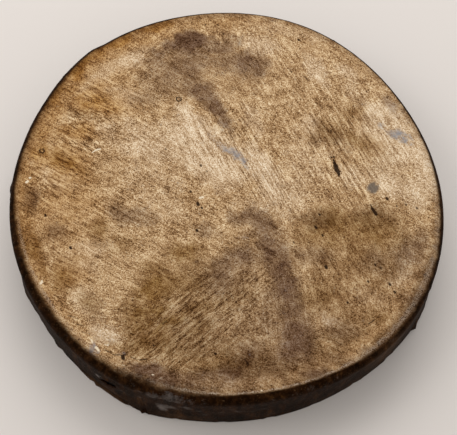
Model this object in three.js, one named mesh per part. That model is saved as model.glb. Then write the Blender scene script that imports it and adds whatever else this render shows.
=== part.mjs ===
// A single-headed frame drum: one hide stretched over a hoop of bent wood.
// The drum lies on its open back, so the head faces up, along +Z.
// Angles are in degrees round the drum, counter-clockwise from +X as seen from the head's side.

import * as THREE from 'three';

// Driving dimensions, in millimetres
const RADIUS = 210; // mean radius over the hide
const DEPTH = 68; // from the open back to the face of the head
const HIDE = 1.5; // thickness of the hide
const HOOP = 9; // thickness of the bent strip
const CLEARANCE = 0.3; // between the hide and the wood
const SHOULDER = 8; // radius at which the hide rolls over the front edge
const HEEL = 3.9; // radius at which it rolls under the back edge
const INNER_EDGE = 2; // rounding of the hoop's inner front edge
const MARGIN = 22; // height of the turned-in margin, up the inside of the hoop
const SCALLOP = 3; // how far the margin's edge rises and falls between the pulled points
const PULLS = 30; // points at which the margin was pulled tight
const FIRST_PULL = 7; // angle of the first of them
const STEPS = 90; // facets round the drum

// The hoop is a little out of round: slow waves left from the bending, each with its number of
// lobes, its height in mm and the angle of one crest.
const WAVES = [
  { lobes: 2, height: 1.8, crest: -56 },
  { lobes: 3, height: 1.9, crest: -24 },
  { lobes: 4, height: 1.1, crest: -31 },
  { lobes: 5, height: 0.3, crest: -20 },
  { lobes: 6, height: 0.7, crest: 11 },
];

// The strip's two ends overlap. The outer end stops at LAP_START and leaves a corner there, and
// the inner end stops at LAP_END, where it stands proud of the inside.
const LAP_START = 129;
const LAP_END = 152;
const LAP_OUTSIDE = 2.8;
const LAP_INSIDE = 3;

// Towards the back the wall leans in at one place, and the hide's hem stands off the wood at three.
const LEANS = [{ at: 306, reach: 24, out: -2.6 }];
const HEM_BULGES = [
  { at: 203, reach: 9, out: 3.8 },
  { at: 250, reach: 14, out: 3.3 },
  { at: 336, reach: 14, out: 3.7 },
];

const INSIDE = RADIUS - 2 * (HIDE + CLEARANCE) - HOOP;

const radians = THREE.MathUtils.degToRad;

function turnBetween(angle, centre) {
  return THREE.MathUtils.euclideanModulo(angle - centre + 180, 360) - 180;
}

// A smooth hump that is 1 at its centre and 0 beyond its reach
function hump(angle, centre, reach) {
  const away = Math.abs(turnBetween(angle, centre)) / reach;
  return away < 1 ? 0.5 + 0.5 * Math.cos(Math.PI * away) : 0;
}

function sumOfHumps(list, angle) {
  return list.reduce((sum, { at, reach, out }) => sum + out * hump(angle, at, reach), 0);
}

// How far the wall stands outside the mean radius
function outOfRound(angle) {
  let out = 0;
  for (const { lobes, height, crest } of WAVES) {
    out += height * Math.cos(lobes * radians(angle - crest));
  }
  return out + LAP_OUTSIDE * lapTaper(angle);
}

// 1 at the start of the lap, falling evenly to 0 at its end
function lapTaper(angle) {
  const along = (angle - LAP_START) / (LAP_END - LAP_START);
  return along >= 0 && along <= 1 ? 1 - along : 0;
}

function lapRise(angle) {
  const along = (angle - LAP_START) / (LAP_END - LAP_START);
  return along >= 0 && along <= 1 ? LAP_INSIDE * along : 0;
}

function marginHeight(angle) {
  return MARGIN + SCALLOP * Math.cos(PULLS * radians(angle - FIRST_PULL));
}

// Points on a quarter round, from one angle to another about its centre
function round(centreR, centreZ, radius, from, to, steps) {
  return Array.from({ length: steps + 1 }, (_, i) => {
    const a = radians(THREE.MathUtils.lerp(from, to, i / steps));
    return new THREE.Vector2(centreR + radius * Math.cos(a), centreZ + radius * Math.sin(a));
  });
}

function at(r, z) {
  return new THREE.Vector2(r, z);
}

// The profile is turned round the drum's axis, stood up along +Z, and each point is then moved
// by the shape's own rule, which takes its angle, radius and height and gives a new radius and height.
function turned(profile, rule) {
  const geometry = new THREE.LatheGeometry(profile, STEPS, Math.PI / 2);
  geometry.rotateX(Math.PI / 2);
  const place = geometry.attributes.position;
  for (let i = 0; i < place.count; i += 1) {
    const x = place.getX(i);
    const y = place.getY(i);
    const turn = Math.round((Math.atan2(y, x) * STEPS) / (2 * Math.PI));
    const angle = THREE.MathUtils.euclideanModulo((360 * turn) / STEPS, 360);
    const r = Math.hypot(x, y);
    const moved = rule(angle, r, place.getZ(i));
    const out = moved.r * (1 + outOfRound(angle) / RADIUS);
    place.setXYZ(i, out * Math.cos(radians(angle)), out * Math.sin(radians(angle)), moved.z);
  }
  geometry.computeVertexNormals();
  return geometry;
}

// The wood: a flat strip on edge, with a rounded front edge under the hide's shoulder
function hoopGeometry() {
  const outside = RADIUS - HIDE - CLEARANCE;
  const inside = outside - HOOP;
  const front = DEPTH - HIDE - CLEARANCE;
  const back = HIDE + CLEARANCE;
  const shoulder = SHOULDER - HIDE - CLEARANCE;
  const heel = HEEL - HIDE - CLEARANCE;
  const clearOfMargin = MARGIN + SCALLOP + 1;
  const profile = [
    ...round(inside + heel, back + heel, heel, 180, 270, 2),
    ...round(outside - heel, back + heel, heel, 270, 360, 2),
    at(outside, DEPTH / 2),
    ...round(outside - shoulder, front - shoulder, shoulder, 0, 90, 4),
    ...round(inside + INNER_EDGE, front - INNER_EDGE, INNER_EDGE, 90, 180, 2),
    at(inside, clearOfMargin + 2),
    at(inside, clearOfMargin),
  ];
  profile.push(profile[0].clone());
  return turned(profile, (angle, r, z) => {
    const onInnerFace = r < inside + HOOP / 2 && z > clearOfMargin + 1;
    const rise = onInnerFace ? lapRise(angle) : 0;
    return { r: r - rise + sumOfHumps(LEANS, angle) * (1 - z / DEPTH), z };
  });
}

// The hide: the flat head, the wall, and the margin turned in under the back edge
function hideGeometry() {
  const outerSkin = [
    at(0, DEPTH),
    ...round(RADIUS - SHOULDER, DEPTH - SHOULDER, SHOULDER, 90, 0, 5),
    at(RADIUS, DEPTH / 2),
    ...round(RADIUS - HEEL, HEEL, HEEL, 0, -90, 3),
    ...round(INSIDE + HEEL, HEEL, HEEL, -90, -180, 3),
    at(INSIDE, MARGIN),
  ];
  const innerSkin = [
    at(INSIDE + HIDE, MARGIN),
    ...round(INSIDE + HEEL, HEEL, HEEL - HIDE, -180, -90, 3),
    ...round(RADIUS - HEEL, HEEL, HEEL - HIDE, -90, 0, 3),
    at(RADIUS - HIDE, DEPTH / 2),
    ...round(RADIUS - SHOULDER, DEPTH - SHOULDER, SHOULDER - HIDE, 0, 90, 5),
    at(0, DEPTH - HIDE),
  ];
  const profile = [...outerSkin, ...innerSkin].reverse();
  const wallMiddle = RADIUS - HIDE - CLEARANCE - HOOP / 2;
  return turned(profile, (angle, r, z) => {
    const turnedInEdge = r < INSIDE + HIDE + 1 && Math.abs(z - MARGIN) < 1;
    const height = turnedInEdge ? marginHeight(angle) : z;
    const hem = r > wallMiddle ? sumOfHumps(HEM_BULGES, angle) : 0;
    const lean = r > INSIDE - 1 ? sumOfHumps(LEANS, angle) : 0;
    const towardsBack = Math.max(0, 1 - z / (DEPTH - SHOULDER));
    return { r: r + hem * towardsBack ** 2 + lean * (1 - z / DEPTH), z: height };
  });
}

const hideFinish = new THREE.MeshStandardMaterial({ color: '#a58a62', roughness: 0.75, metalness: 0 });
const woodFinish = new THREE.MeshStandardMaterial({ color: '#4e3825', roughness: 0.7, metalness: 0 });

function piece(name, geometry, material) {
  const mesh = new THREE.Mesh(geometry, material);
  mesh.name = name;
  return mesh;
}

const group = new THREE.Group();
group.add(piece('hoop', hoopGeometry(), woodFinish));
group.add(piece('hide_head', hideGeometry(), hideFinish));

// The origin is under the middle of the drum's own box
const box = new THREE.Box3().setFromObject(group);
const middle = box.getCenter(new THREE.Vector3());
group.position.set(-middle.x, -middle.y, -box.min.z);

export default group;
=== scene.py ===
# %% [markdown]
# # A ceremonial frame drum
#
# One hide was stretched wet over the front of a shallow hoop of bent wood, brought down its side
# and turned in under its open back edge. As it dried it shrank and gripped the wood by itself.
# The drum lies on its back with the head up. Two pieces are made here, the hide and the hoop, and
# most of the work goes into the hide: its stains, its scraped places, its tears and its dark side.

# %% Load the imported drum
import math

import bmesh
import bpy
import numpy as np
from mathutils import Matrix, Vector, noise


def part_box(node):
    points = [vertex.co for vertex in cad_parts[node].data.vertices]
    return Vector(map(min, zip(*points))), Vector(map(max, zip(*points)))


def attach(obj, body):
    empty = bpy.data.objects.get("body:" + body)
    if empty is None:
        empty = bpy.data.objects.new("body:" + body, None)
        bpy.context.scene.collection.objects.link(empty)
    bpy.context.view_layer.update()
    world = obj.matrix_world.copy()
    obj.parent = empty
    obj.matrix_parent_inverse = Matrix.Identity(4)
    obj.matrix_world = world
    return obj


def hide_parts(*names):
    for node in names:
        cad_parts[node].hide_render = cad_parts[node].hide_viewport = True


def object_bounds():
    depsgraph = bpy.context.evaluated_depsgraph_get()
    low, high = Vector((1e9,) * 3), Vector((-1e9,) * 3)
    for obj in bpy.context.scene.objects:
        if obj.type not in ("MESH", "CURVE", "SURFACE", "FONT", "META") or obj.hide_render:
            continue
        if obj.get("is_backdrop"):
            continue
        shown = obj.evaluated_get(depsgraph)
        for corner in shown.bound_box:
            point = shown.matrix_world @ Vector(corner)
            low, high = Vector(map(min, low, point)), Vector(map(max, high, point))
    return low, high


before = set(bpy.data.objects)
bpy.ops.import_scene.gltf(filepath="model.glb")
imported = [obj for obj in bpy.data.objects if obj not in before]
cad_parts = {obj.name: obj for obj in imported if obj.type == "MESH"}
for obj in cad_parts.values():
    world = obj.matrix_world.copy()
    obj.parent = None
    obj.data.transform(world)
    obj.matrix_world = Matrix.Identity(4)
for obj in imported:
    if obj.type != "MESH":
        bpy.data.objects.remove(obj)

MM = 0.001
CAD_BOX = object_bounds()
print("The drum's box in mm:", [round(c / MM, 1) for corner in CAD_BOX for c in corner])

# %% [markdown]
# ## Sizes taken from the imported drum
#
# The hoop was bent by hand, so it isn't a true circle, and the hide's outline follows it. The
# packed hide already has that outline, on facets 4 degrees apart. Reading its radius at three
# heights of the wall and blending between the facets gives a smooth outline for the new pieces,
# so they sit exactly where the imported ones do.

# %% Read the outline
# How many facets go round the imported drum, and its own sizes in mm
FACETS = 90
HIDE_THICKNESS = 1.5
HOOP_THICKNESS = 9.0
CLEARANCE = 0.3
SHOULDER = 8.0
HEEL = 3.9
MARGIN = 22.0
# Points this close in height belong to one ring, and a point of the head this near is its middle
SAME_HEIGHT = 0.05
NEAR_MIDDLE = 50

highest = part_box("hide_head")[1]
DEPTH = highest.z / MM
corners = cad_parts["hide_head"].data.vertices
packed = np.array([v.co for v in corners]) / MM
on_face = np.abs(packed[:, 2] - DEPTH) < SAME_HEIGHT
near_middle = np.hypot(packed[:, 0], packed[:, 1]) < NEAR_MIDDLE
CENTRE = packed[on_face & near_middle][0]
CENTRE_X, CENTRE_Y = CENTRE[0], CENTRE[1]
facet_angles = np.arange(FACETS) * 360 / FACETS


def radii_at(height):
    """The hide's outer radius at each facet's angle, at one height above the floor."""
    ring = packed[np.abs(packed[:, 2] - height) < SAME_HEIGHT]
    x, y = ring[:, 0] - CENTRE_X, ring[:, 1] - CENTRE_Y
    turn = np.round(np.degrees(np.arctan2(y, x)) / 360 * FACETS).astype(int) % FACETS
    radii = np.zeros(FACETS)
    np.maximum.at(radii, turn, np.hypot(x, y))
    return radii


wall_rings = {h: radii_at(h) for h in (HEEL, DEPTH / 2, DEPTH - SHOULDER)}
RADIUS = float(np.round(wall_rings[DEPTH - SHOULDER].mean()))
INSIDE = RADIUS - 2 * (HIDE_THICKNESS + CLEARANCE) - HOOP_THICKNESS
print("The hoop's middle is at", round(CENTRE_X, 2), round(CENTRE_Y, 2), "mm, its mean radius", RADIUS)
print("It is out of round by", np.round(np.ptp(wall_rings[DEPTH - SHOULDER]), 1), "mm")


def outline_scale(angle):
    """How far the hoop stands out at an angle in degrees, as a share of its mean radius."""
    return np.interp(angle, facet_angles, wall_rings[DEPTH - SHOULDER], period=360) / RADIUS


def wall_shift(angle, z):
    """How far the wall leans or bulges at a height, in mm, next to its own upper edge."""
    scale = outline_scale(angle)
    middle = np.interp(angle, facet_angles, wall_rings[DEPTH / 2], period=360) / scale - RADIUS
    foot = np.interp(angle, facet_angles, wall_rings[HEEL], period=360) / scale - RADIUS
    down = np.clip((DEPTH - SHOULDER - z) / (DEPTH - SHOULDER - HEEL), 0, 1)
    half = (DEPTH / 2 - SHOULDER) / (DEPTH - SHOULDER - HEEL)
    curve = (foot - middle / half) / (1 - half)
    slope = middle / half - curve * half
    return slope * down + curve * down ** 2


# %% [markdown]
# ## The camera
#
# The eye looks down on the lying drum from two and a half of its widths away, 24.5 degrees off
# the head's straight-down line, and the camera is rolled a little. Three unit vectors make its
# turning matrix: right, up and back.

# %% Set the camera
TILT = math.radians(24.5)
ROLL = math.radians(1.74)
DISTANCE = 1.05
SENSOR_WIDTH = 36
LENS_LENGTH = 86.9
TARGET = Vector((0.0021, -0.0280, DEPTH * MM))

right = Vector((1, 0, 0))
up = Vector((0, math.cos(TILT), math.sin(TILT)))
back = right.cross(up)
rolled_right = math.cos(ROLL) * right + math.sin(ROLL) * up
rolled_up = math.cos(ROLL) * up - math.sin(ROLL) * right

lens = bpy.data.cameras.new("camera")
lens.sensor_width = SENSOR_WIDTH
lens.lens = LENS_LENGTH
camera = bpy.data.objects.new("camera", lens)
camera.matrix_world = (
    Matrix.Translation(TARGET + DISTANCE * back)
    @ Matrix((rolled_right, rolled_up, back)).transposed().to_4x4()
)
bpy.context.scene.collection.objects.link(camera)
bpy.context.scene.camera = camera
print("The camera stands", DISTANCE, "m away with a", LENS_LENGTH, "mm lens")


# %% [markdown]
# ## Colours and nodes
#
# Finishes are given as the hex values that a paint chart would give. Shaders work in linear
# light, so one function turns them. One more function adds a shader node with its settings and
# links, which keeps each finish short enough to read.

# %% Two helpers for every finish
def colour(hex_code):
    """A linear RGBA colour from an sRGB hex code such as 'b08a5e'."""
    channels = [int(hex_code[i : i + 2], 16) / 255 for i in (0, 2, 4)]
    linear = [c / 12.92 if c <= 0.04045 else ((c + 0.055) / 1.055) ** 2.4 for c in channels]
    return (*linear, 1.0)


def add(tree, kind, settings=None, **inputs):
    """Add a node. An input is a value, or another node's output to link."""
    node = tree.nodes.new(kind)
    for name, value in (settings or {}).items():
        setattr(node, name, value)
    for name, value in inputs.items():
        key = int(name[1:]) if name[0] == "i" and name[1:].isdigit() else name.replace("_", " ")
        socket = node.inputs[key]
        if isinstance(value, bpy.types.NodeSocket):
            tree.links.new(value, socket)
        else:
            socket.default_value = value
    return node


def new_material(name):
    """An empty material and its node tree, with no nodes in it yet."""
    material = bpy.data.materials.new(name)
    material.use_nodes = True
    material.node_tree.nodes.clear()
    return material, material.node_tree


# %% [markdown]
# ## Floor and light
#
# A plain pale floor, a soft lamp high behind the drum and a weaker one from the left. The light
# comes over the far edge, so it falls off gently towards the near side, whose wall lies in its own
# shade. A standard view transform keeps the finishes at their chart colours.

# %% Lay the floor and hang the lamps
def make_object(net, name, mesh_name):
    """Turn a net of faces into an object in the scene."""
    data = bpy.data.meshes.new(mesh_name)
    net.to_mesh(data)
    net.free()
    made = bpy.data.objects.new(name, data)
    bpy.context.scene.collection.objects.link(made)
    return made


bpy.context.scene.view_settings.view_transform = "Standard"

# Half the floor's width, in metres
FLOOR_HALF = 40.0
floor_net = bmesh.new()
bmesh.ops.create_grid(floor_net, x_segments=1, y_segments=1, size=FLOOR_HALF)
floor = make_object(floor_net, "floor", "floor")

# Matt painted board: no gloss, a warm off-white
board, tree = new_material("matt_painted_board")
shader = add(tree, "ShaderNodeBsdfPrincipled", Base_Color=colour("dfd8d2"), Roughness=0.9)
add(tree, "ShaderNodeOutputMaterial", Surface=shader.outputs[0])
floor.data.materials.append(board)
floor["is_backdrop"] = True


def hang_lamp(name, place, size, watts):
    """A square soft lamp that faces the middle of the drum."""
    data = bpy.data.lights.new(name, "AREA")
    data.size = size
    data.energy = watts
    lamp = bpy.data.objects.new(name, data)
    lamp.location = place
    lamp.rotation_euler = (-Vector(place)).to_track_quat("-Z", "Y").to_euler()
    bpy.context.scene.collection.objects.link(lamp)


hang_lamp("key_lamp", (0.1, 1.15, 1.45), 1.4, 13.5)
hang_lamp("fill_lamp", (-1.7, 0.2, 1.8), 1.4, 11)

# The rest of the room: an even, nearly white light from all round
world = bpy.data.worlds.new("studio")
world.use_nodes = True
room = world.node_tree.nodes["Background"]
room.inputs["Color"].default_value = colour("f4f2f0")
room.inputs["Strength"].default_value = 0.7
bpy.context.scene.world = world

# %% [markdown]
# ## The hide's skin
#
# The hide is a body of revolution to begin with: a line from the middle of the head, out over
# the shoulder, down the wall, round the heel and a little way up the inside. Spinning that line
# is the quickest way to a clean, even net of faces. A number kept on each point of the line says
# how far down the hide it lies, and the spin copies that number to the whole net, so that later
# steps can ask for the wall or the margin without guessing from the height.


# %% Draw and spin the profile
def arc(centre_r, centre_z, radius, start, end, steps):
    """Points on an arc about a centre, without its first one."""
    turns = np.radians(np.linspace(start, end, steps + 1)[1:])
    return [(centre_r + radius * math.cos(t), centre_z + radius * math.sin(t)) for t in turns]


def straight(start, end, steps):
    """Points on a straight stretch, without its first one."""
    return [tuple(p) for p in np.linspace(start, end, steps + 1)[1:]]


# How many steps the spin takes, and how many rows of faces each stretch of the line gives
SPIN_STEPS = 320
HEAD_RINGS = 66
SHOULDER_ROWS = 6
WALL_ROWS = 17
HEEL_ROWS = 3
FOOT_ROWS = 2
MARGIN_ROWS = 7
FACE_EDGE = RADIUS - SHOULDER
profile = [(0.0, DEPTH)]
profile += straight((0, DEPTH), (FACE_EDGE, DEPTH), HEAD_RINGS)
profile += arc(FACE_EDGE, DEPTH - SHOULDER, SHOULDER, 90, 0, SHOULDER_ROWS)
profile += straight((RADIUS, DEPTH - SHOULDER), (RADIUS, HEEL), WALL_ROWS)
profile += arc(RADIUS - HEEL, HEEL, HEEL, 0, -90, HEEL_ROWS)
profile += straight((RADIUS - HEEL, 0), (INSIDE + HEEL, 0), FOOT_ROWS)
profile += arc(INSIDE + HEEL, HEEL, HEEL, -90, -180, HEEL_ROWS)
profile += straight((INSIDE, HEEL), (INSIDE, MARGIN), MARGIN_ROWS)


def spin_profile(points, steps):
    """Spin a line of (radius, height) points about the upright axis. Lengths are in mm."""
    skin = bmesh.new()
    travel = skin.verts.layers.float.new("travel")
    gone = 0.0
    line = []
    for (r, z), (last_r, last_z) in zip(points, [points[0], *points]):
        gone += math.hypot(r - last_r, z - last_z)
        vertex = skin.verts.new((r, 0, z))
        vertex[travel] = gone
        line.append(vertex)
    edges = [skin.edges.new(pair) for pair in zip(line, line[1:])]
    bmesh.ops.spin(
        skin, geom=line + edges, cent=(0, 0, 0), axis=(0, 0, 1), angle=math.tau,
        steps=steps, use_merge=True,
    )
    bmesh.ops.remove_doubles(skin, verts=skin.verts, dist=0.001)
    bmesh.ops.recalc_face_normals(skin, faces=skin.faces)
    return skin


skin = spin_profile(profile, SPIN_STEPS)
travel = skin.verts.layers.float["travel"]
print("The spun skin has", len(skin.faces), "faces; travel runs to",
      round(max(v[travel] for v in skin.verts), 1), "mm")

# %% [markdown]
# ## Scratches, cuts and flecks on the head
#
# The head has small dark cuts and flecks, two round scars where hairs grew, and nicks where the
# pale inside of the hide shows. Each mark is a short stroke with a half-width, in mm from the
# middle of the drum, so one way of measuring the distance to a stroke serves them all.

# %% List the marks
# (start x, start y, end x, end y, half-width, how dark)
CUTS = [
    (105.0, 38.6, 105.9, 34.6, 0.8, 0.9),
    (105.6, 35, 107.4, 31, 1.5, 1.0),
    (106.9, 31.6, 107.4, 27, 2.0, 1.0),
    (107.8, 27.4, 109.4, 22.6, 1.5, 1.0),
    (109.4, 23, 109.1, 20, 0.7, 0.9),
    (104.8, 31.8, 106.4, 30.4, 0.7, 0.8),
    (109.2, 27.2, 110.4, 25.6, 0.7, 0.8),
    (137.6, -9, 139.2, -13, 0.8, 0.7),
    (139.4, -14, 142.4, -19.5, 1.6, 0.9),
    (131, -128, 136, -124, 0.8, 0.6),
    (-55, -136, -51.5, -133, 1.0, 0.5),
    (-49, -131.5, -46.5, -129, 0.8, 0.4),
    (-106, -162, -97, -166, 0.8, 0.6),
    (-96, -166.5, -84, -166, 0.7, 0.6),
    (-82, -168, -74, -170.5, 0.7, 0.6),
    (-142, -131, -132, -134, 0.8, 0.5),
    (-134, -139, -124, -141, 0.8, 0.5),
    (-128, -146, -118, -149, 0.7, 0.5),
    (-73, -170.4, -68, -169.6, 0.8, 0.8),
    (51.5, 0, 54, -2, 0.5, 0.6),
    (24, 10, 29, 2, 0.5, 0.5),
    (73, 133, 79, 127, 0.6, 0.5),
    (77, 131, 80, 128, 0.4, 0.4),
    (21, -169, 24, -174, 0.6, 0.7),
    (-181, 23, -174, 20, 0.5, 0.7),
    (-1, 65, 6, 53, 0.5, 0.35),
    (12, 38, 27, 17, 0.5, 0.3),
    (16, 38, 31, 15, 0.5, 0.25),
    (-4, 86, 3, 73, 0.5, 0.35),
    (12, -145.5, 34, -146.5, 0.5, 0.35),
    (34, -146.5, 56, -145, 0.5, 0.25),
]
# (x, y, radius, how dark)
FLECKS = [
    (102.6, 41.4, 0.7, 0.8), (105, 42, 0.7, 0.8), (68, 175.6, 1.0, 0.9),
    (-28, 190, 0.8, 0.6), (-15, 190, 0.8, 0.5), (-9, 179, 0.8, 0.5), (2, 191, 0.8, 0.6),
    (-173, -31, 0.9, 0.8), (-146, -63.5, 1.1, 0.8), (-27.6, -41.7, 1.0, 0.8),
    (-6.3, -163.6, 0.9, 0.8), (-89, -168, 1.4, 0.8), (-62, -156, 0.9, 0.5),
    (154, -2, 1.2, 0.8), (163, -10, 0.8, 0.6), (172, -8, 0.8, 0.6), (182, -11, 1.0, 0.6),
    (88, -21, 1.0, 0.6), (84, -34, 1.2, 0.6), (90, -42, 1.0, 0.6), (63, -50, 0.9, 0.5),
    (92.6, -73.5, 1.3, 0.7), (138, -70, 1.0, 0.6), (143, -73, 1.1, 0.5),
    (131, -86.5, 1.0, 0.6), (151, -89, 0.9, 0.7), (155, -96, 1.1, 0.6), (112, -108, 0.8, 0.6),
    (103, 72, 0.8, 0.5), (125, 89, 0.9, 0.5), (61, 137, 0.9, 0.5), (-35.5, -1, 1.0, 0.6),
    (-61, 44, 0.9, 0.5), (-28, -13.6, 1.5, 0.6), (-24, -18, 1.0, 0.5), (-26, 27, 1.0, 0.5),
    (-20, 21, 0.8, 0.4), (-84, 86, 0.7, 0.4), (-66, 69, 0.7, 0.4), (-36, 90, 0.7, 0.4),
]
# Old follicle scars: a dark ring about a pale middle (x, y, radius)
RINGS = [(-50.6, 99.7, 2.4), (-183.7, 37.9, 2.2)]
# Bare pale nicks (start x, start y, end x, end y, half-width, how pale)
NICKS = [
    (-134, 38, -131, 40.5, 0.6, 0.9),
    (-131, 40.5, -126.5, 42, 0.8, 1.0),
    (-195, 3, -194, 4, 1.3, 1.0),
    (-192.5, 7.7, -192, 8, 0.9, 0.9),
    (-170, -101, -169, -99, 1.2, 0.9),
    (40, 162, 40.5, 162, 0.8, 0.7),
    (36, -198, 37, -198, 1, 0.7),
    (-26, -8, -23, -7, 1.2, 0.9),
    (-160, 148, -154, 152, 0.6, 0.5),
    (-119, -153, -117, -156, 0.9, 0.7),
    (-114, -160, -111, -163, 1.2, 0.8),
    (-106, -157, -103, -158, 0.8, 0.7),
    (-100, -147, -96, -148, 0.8, 0.6),
    (-108, -139, -104, -140, 0.7, 0.5),
    (-88, -176, -87, -176, 0.7, 0.6),
    (-62, -184, -60, -184, 0.7, 0.6),
    (-56, -187, -53, -187, 0.7, 0.5),
    (-84, 43, -80, 45, 0.6, 0.4),
]
# A fleck is a stroke a little longer than it is wide
FLECK_STROKES = [
    (x, y, x + 0.5 * radius, y - radius, 1.15 * radius, min(1, dark + 0.15))
    for x, y, radius, dark in FLECKS
]
RING_STROKES = [(x, y, x, y, radius, 1.0) for x, y, radius in RINGS]
print("Marks:", len(CUTS), "cuts,", len(FLECKS), "flecks,", len(RINGS), "rings,", len(NICKS), "nicks")


def stroke_distance(x, y, stroke):
    """Distance in mm from points to a stroke's middle line."""
    start = np.array(stroke[:2], float)
    run = np.array(stroke[2:4], float) - start
    length = max(float(run @ run), 1e-9)
    share = np.clip(((x - start[0]) * run[0] + (y - start[1]) * run[1]) / length, 0, 1)
    return np.hypot(x - start[0] - share * run[0], y - start[1] - share * run[1])


# %% [markdown]
# ## Damage to the wall
#
# On the near side the hide has dried, shrunk and split: a tear part-way down the wall, and a
# gathered crease that runs down to the back edge and ends in a hard little knob. Elsewhere there
# are only small knobs of dried hide. Places on the wall are given by their angle round the drum
# and their height above the floor.

# %% List the damage to the wall
TEAR = {"angle": 240.9, "height": 40.0, "half_length": 12.0, "half_width": 6.0, "tilt": 34}
CREASE = {"angle": 250.8, "top": 42.0, "depth": 1.8, "half_width": 1.9}
ROLLED_HEM = {"from": 229, "to": 247, "height": 5.0, "proud": 1.3}
# Knobs of dried hide (angle, half-width in degrees, height, half-height in mm, how proud in mm)
KNOBS = [
    (250.6, 0.7, 3.5, 4, 2.0),
    (60, 0.5, 60, 3, 1.3),
    (142.5, 1.3, 56, 5, 1.8),
    (147.5, 0.5, 57, 3, 1.5),
    (161, 1.0, 55, 5, 1.8),
    (166, 0.6, 56, 4, 1.7),
    (179.5, 1.7, 54, 6, 2.3),
    (182.2, 0.5, 54, 3, 1.9),
    (221, 0.8, 4, 3, 1.0),
    (236, 0.7, 4, 3, 1.2),
    (330, 0.9, 6, 5, 2.4),
    (341.5, 0.7, 12, 6, 2.6),
]
print("Knobs on the wall:", len(KNOBS))


def turn_between(angle, centre):
    """Signed turn in degrees from a centre to an angle, the short way round."""
    return (angle - centre + 180) % 360 - 180


def round_the_wall(angle, centre):
    """How far round the wall an angle lies from a centre, in mm."""
    return np.radians(turn_between(angle, centre)) * RADIUS


# %% [markdown]
# ## A finer net where it is needed
#
# The net's faces are 3 to 4 mm across near the edge of the head, and most marks are narrower than
# that. The edges near a mark, the tear and the crease are cut in two, twice over, and the second
# time in a narrower belt. That costs far less than a fine net everywhere.

# %% Cut the net finer where the marks and the damage are
# How far past a mark each round of cutting reaches, in mm
CUT_REACHES = (4.5, 2.5)
# The tear is longer than it is high, so a distance upwards counts for more
TEAR_FLATNESS = 1.4


def edge_middles(mesh):
    """The middle of every edge, as an array of rows in mm."""
    return np.array([(e.verts[0].co + e.verts[1].co) / 2 for e in mesh.edges])


def near_a_mark(middles, spare):
    """True where an edge's middle is close to a mark on the head or to the torn wall."""
    x, y, z = middles.T
    near = np.zeros(len(x), bool)
    on_head = z > DEPTH - 1
    for stroke in CUTS + FLECK_STROKES + RING_STROKES + NICKS:
        near |= on_head & (stroke_distance(x - CENTRE_X, y - CENTRE_Y, stroke) < stroke[4] + spare)
    angle = np.degrees(np.arctan2(y, x))
    on_wall = np.hypot(x, y) > RADIUS - 1
    along = round_the_wall(angle, TEAR["angle"])
    rise = z - TEAR["height"]
    near |= on_wall & (np.hypot(along, rise * TEAR_FLATNESS) < TEAR["half_length"] + spare)
    along = round_the_wall(angle, CREASE["angle"])
    near |= on_wall & (np.abs(along) < CREASE["half_width"] + spare) & (z < CREASE["top"])
    return near


for reach in CUT_REACHES:
    chosen = np.flatnonzero(near_a_mark(edge_middles(skin), reach))
    skin.edges.ensure_lookup_table()
    bmesh.ops.subdivide_edges(
        skin, edges=[skin.edges[i] for i in chosen], cuts=1, use_grid_fill=True
    )
print("With its fine patches the net has", len(skin.faces), "faces")

# %% [markdown]
# ## Shaping the skin
#
# The net is now pushed about, point by point, in the hoop's own terms: an angle, a radius and a
# height. Noise with bumps of a real size in mm gives what no plan gives, the unevenness of a
# thing made and dried by hand.

# %% Measure the net
WALL_START = FACE_EDGE + SHOULDER * math.pi / 2
WALL_END = WALL_START + DEPTH - SHOULDER - HEEL
MARGIN_START = WALL_END + HEEL * math.pi + (RADIUS - INSIDE - 2 * HEEL)
HIDE_END = MARGIN_START + MARGIN - HEEL


def smooth_step(value, low, high):
    """0 below low, 1 above high, and an easy curve between."""
    share = np.clip((value - low) / (high - low), 0, 1)
    return share * share * (3 - 2 * share)


def cloud(points, size, seed):
    """Smooth noise from about -1 to 1 with bumps of one size in mm, at rows of points."""
    shift = Vector((seed * 17.3, seed * 5.1, seed * 9.7))
    return np.array([noise.fractal(Vector(p) / size + shift, 0.6, 2.0, 3) for p in points])


def places(angle, radius, height):
    """Rows of x, y and z for points given by their angle, radius and height."""
    turn = np.radians(angle)
    return np.column_stack([radius * np.cos(turn), radius * np.sin(turn), height])


net = np.array([v.co for v in skin.verts])
travelled = np.array([v[travel] for v in skin.verts])
angle = np.degrees(np.arctan2(net[:, 1], net[:, 0])) % 360
radius = np.hypot(net[:, 0], net[:, 1])
height = net[:, 2].copy()
flat_x, flat_y = net[:, 0] + CENTRE_X, net[:, 1] + CENTRE_Y
on_head = travelled <= FACE_EDGE + 0.01
on_wall = (travelled > FACE_EDGE) & (travelled < WALL_END + 0.01)
on_margin = travelled > MARGIN_START - 0.01
print("Points on the head:", on_head.sum(), "on the wall:", on_wall.sum(), "inside:", on_margin.sum())

# %% [markdown]
# ## The head
#
# A hide that dries on its hoop pulls tight but never quite flat. The head gets shallow unevenness
# and sinks a little inside the hoop's front edge. Cuts and flecks are small pits in it.

# %% Shape the head
HEAD_UNEVEN = 0.35
HEAD_SINK = 0.6
PIT_DEPTH = 0.5

inside_hoop = smooth_step(FACE_EDGE - radius, 2, 16) * on_head
uneven = cloud(net, 55, 1) + 0.35 * cloud(net, 14, 2)
height += inside_hoop * (HEAD_UNEVEN * uneven - HEAD_SINK)
for stroke in CUTS + FLECK_STROKES:
    deep = smooth_step(stroke_distance(flat_x, flat_y, stroke), stroke[4] * 1.5, stroke[4] * 0.3)
    height -= PIT_DEPTH * stroke[5] * deep * on_head
print("The head's face lies between", round(height[on_head].min(), 2), "and",
      round(height[on_head].max(), 2), "mm above the floor")

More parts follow.
